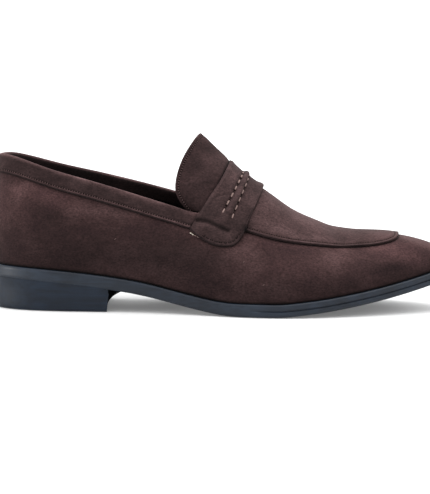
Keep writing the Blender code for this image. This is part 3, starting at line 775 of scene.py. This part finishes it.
# Painted shade along the tabs' cut edges.
for edge in tab_edges:
    tint(strap, even(edge[0], 0.3 * MM), 0.7 * MM, -0.6)
for seam in tab_seams:
    sink_seam(strap, seam, depth=0.25 * MM, half_width=0.9 * MM, shade_width=0.7 * MM, tone=-0.2)
for side in (-1, 1):
    press(strap, even(on_side(strap_surface, side, TAB_CREASE), 0.4 * MM), 1.2 * MM, 1.3 * MM)
    below = [(x - 1.0, z - 3.6) for x, z in TAB_CREASE[1:-1]]
    press(strap, even(on_side(strap_surface, side, below), 0.4 * MM), -0.4 * MM, 2.2 * MM)
press(strap, even(on_side(strap_surface, -1, SMALL_WRINKLE), 0.4 * MM), 0.3 * MM, 0.9 * MM)
# Painted shade in the crease, along the front edge, in the wrinkle and above the fold.
paint_tone_strokes(strap, (
    ([(x, z + 0.8) for x, z in TAB_CREASE], 1.5, -0.6),
    (((12.5, 54.0), (20.5, 76.0)), 2.4, -0.35),
    (SMALL_WRINKLE, 0.9, -0.3),
    (((4, 88), (10, 81)), 5, -0.15),
    (((-10, 62.5), (6, 58.5)), 4.5, -0.22),
))
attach(strap, "root")
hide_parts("strap")


INSTEP_AXIS = 40.0  # height in millimetres of the line that the rows go round
INSTEP_REACH = 1.4  # radians to each side
END_ROOM = 1.9  # a row stops this many millimetres below its given lower end


def over_instep(surface, x, z, gain):
    """Line over the strap from side to side; seen from the side it is straight, from x and z at its
    lower end in millimetres and gaining x with each millimetre of height."""
    centre = Vector(((x + (INSTEP_AXIS - z) * gain) * MM, 0.0, INSTEP_AXIS * MM))
    points = []
    for turn in np.linspace(-INSTEP_REACH, INSTEP_REACH, 120):
        way = Vector((gain * math.cos(turn), math.sin(turn), math.cos(turn)))
        spot = surface.ray_cast(centre + way * 0.15, -way.normalized())[0]
        if spot is not None and spot.z > (z - END_ROOM) * MM:
            points.append(spot)
    return points


strap_surface = surface_of(strap)
hand_rows = [
    even(over_instep(strap_surface, 0.2, 67.0, 0.584), 7.1 * MM),
    even(over_instep(strap_surface, 5.9, 63.4, 0.456), 6.9 * MM),
]
middle_roll = over_instep(strap_surface, 3.4, 66.0, 0.52)
press(strap, even(middle_roll, 0.5 * MM), -0.9 * MM, 2.0 * MM)
for row in hand_rows:
    press(strap, even(row, 0.4 * MM), 0.45 * MM, 1.2 * MM)
    press(strap, [(a + b) / 2 for a, b in zip(row, row[1:])], 0.5 * MM, 1.7 * MM)  # puckers at the holes
    # Painted shade in the row's channel.
    tint(strap, even(row, 0.4 * MM), 1.0 * MM, -0.3)
tan_thread = waxed_thread("tan_waxed_thread", "#7d6863")
sunk_thread = waxed_thread("sunk_dark_thread", "#201615")
gap_shade = glove_leather("stitch_gap_shade", "#180f0e", "#201615", 0.95, 0.03)
strap_surface = surface_of(strap)
hand_stitch = model_stitch(4.6 * MM, 1.15 * MM, tan_thread, gap_shade)
hand_stitches = sew("strap_hand_stitches", hand_rows, strap_surface, hand_stitch)
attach(hand_stitches, "root")
tab_stitch = model_stitch(1.2 * MM, 0.9 * MM, sunk_thread, hole_shade)
tab_stitches = sew("tab_stitches", tab_seams, strap_surface, tab_stitch)
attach(tab_stitches, "root")


# Loose bits. The cut tail of the tab's thread lies at the tab's rear corner, with its frayed end
# beside it, and some lint sticks to the nap of the vamp and the quarter.

THREAD_TAIL = ((-21.2, 51.2), (-20.0, 50.5))  # side-view places in millimetres
FRAYED_END = ((-18.4, 49.7), (-16.8, 48.9))
LINT = ((12.1, 34.1), (24.7, 20.3), (-69.1, 46.8))

upper_surface = surface_of(upper)
tail_row = on_side(upper_surface, -1, THREAD_TAIL)
pale_thread = waxed_thread("pale_thread_end", "#cfc6b6")
tail_stitch = model_stitch(1.6 * MM, 0.9 * MM, pale_thread, seam_thread)
thread_tail = sew("thread_tail", [tail_row], upper_surface, tail_stitch)
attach(thread_tail, "root")
frayed_row = on_side(upper_surface, -1, FRAYED_END)
frayed_stitch = model_stitch(1.7 * MM, 0.6 * MM, tan_thread, seam_thread)
frayed_end = sew("frayed_end", [frayed_row], upper_surface, frayed_stitch)
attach(frayed_end, "root")
lint_rows = [on_side(upper_surface, -1, ((x, z), (x + 0.4, z + 0.3))) for x, z in LINT]
lint = waxed_thread("pale_lint", "#64524f")
lint_fibre = model_stitch(0.5 * MM, 0.3 * MM, lint, lint)
lint_fibres = sew("lint_fibres", lint_rows, upper_surface, lint_fibre)
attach(lint_fibres, "root")


# Studio. A pale matt floor that runs out of the picture on every side, a white room, and soft boxes
# above, behind, at the heel and at the toe. The camera stands where the photo was taken from.

FLOOR_DROP = 0.4 * MM  # keeps the floor just clear of the sole
bpy.ops.object.select_all(action="DESELECT")
bpy.ops.mesh.primitive_circle_add(vertices=64, radius=40.0, fill_type="NGON")
bpy.ops.transform.translate(value=(0.0, 0.0, -FLOOR_DROP))
floor = bpy.context.active_object
floor.name = "floor"
bpy.ops.object.transform_apply(location=True, rotation=True, scale=True)

# Seamless paper: matt, with a little light coming through the sheet from below.
paper = bpy.data.materials.new("matt_white_paper")
paper.use_nodes = True
sheet = paper.node_tree.nodes["Principled BSDF"].inputs
sheet["Base Color"].default_value = linear("#d2d2d2")
sheet["Roughness"].default_value = 0.95
sheet["Specular IOR Level"].default_value = 0.1
sheet["Emission Color"].default_value = linear("#ffffff")
sheet["Emission Strength"].default_value = 0.15
floor.data.materials.append(paper)

# The room's white ceiling is much brighter than its walls.
world = bpy.data.worlds.new("white_studio")
bpy.context.scene.world = world
world.use_nodes = True
sky = world.node_tree
sky_way = add_node(sky, "ShaderNodeTexCoord").outputs["Generated"]
sky_height = add_node(sky, "ShaderNodeSeparateXYZ", {"Vector": sky_way})
sky_level = add_node(
    sky, "ShaderNodeMapRange", {"Value": sky_height.outputs["Z"]},
    {"From Min": 0.0, "From Max": 1.0, "To Min": 0.4, "To Max": 2.3}, interpolation_type="SMOOTHSTEP",
)
sky.links.new(sky_level.outputs[0], sky.nodes["Background"].inputs["Strength"])
sky.nodes["Background"].inputs["Color"].default_value = linear("#ffffff")


def soft_box(name, place, aim, size, watts):
    """A soft box at a place that looks at a point; places and sizes in metres."""
    lamp = bpy.data.lights.new(name, "AREA")
    lamp.shape = "RECTANGLE"
    lamp.size, lamp.size_y = size
    lamp.energy = watts
    box = bpy.data.objects.new(name, lamp)
    bpy.context.scene.collection.objects.link(box)
    box.location = place
    box.rotation_euler = (Vector(aim) - Vector(place)).to_track_quat("-Z", "Y").to_euler()


soft_box("top_box", (0.5, -0.3, 1.8), (0.0, 0.0, 0.03), (1.2, 1.0), 9.0)
soft_box("back_box", (0.0, 1.7, 0.75), (-0.03, 0.0, 0.0), (1.8, 0.5), 9.0)
soft_box("heel_box", (-1.25, -0.4, 0.14), (-0.13, 0.0, 0.03), (0.5, 0.26), 9.0)
soft_box("toe_box", (1.3, -0.5, 0.7), (0.12, 0.0, 0.03), (0.7, 0.7), 4.0)

IMAGE_HEIGHT = 494  # pixels; the image is 430 wide, so the sensor's width lies along its height
FOCAL_LENGTH = 2651  # pixels
SENSOR = 36.0
CAMERA_PLACE = Vector((-0.005875, -1.6957, 0.2535))
CAMERA_AIM = Vector((-0.005875, 0.0009, 0.038))
CAMERA_ROLL = math.radians(0.6)

shot = bpy.data.cameras.new("photo_camera")
shot.sensor_width = SENSOR
shot.lens = SENSOR * FOCAL_LENGTH / IMAGE_HEIGHT
camera = bpy.data.objects.new("photo_camera", shot)
bpy.context.scene.collection.objects.link(camera)
turned = (CAMERA_AIM - CAMERA_PLACE).to_track_quat("-Z", "Y").to_matrix().to_4x4()
turned = turned @ Matrix.Rotation(CAMERA_ROLL, 4, "Z")
camera.matrix_world = Matrix.Translation(CAMERA_PLACE) @ turned
bpy.context.scene.camera = camera
bpy.context.scene.view_settings.view_transform = "Standard"
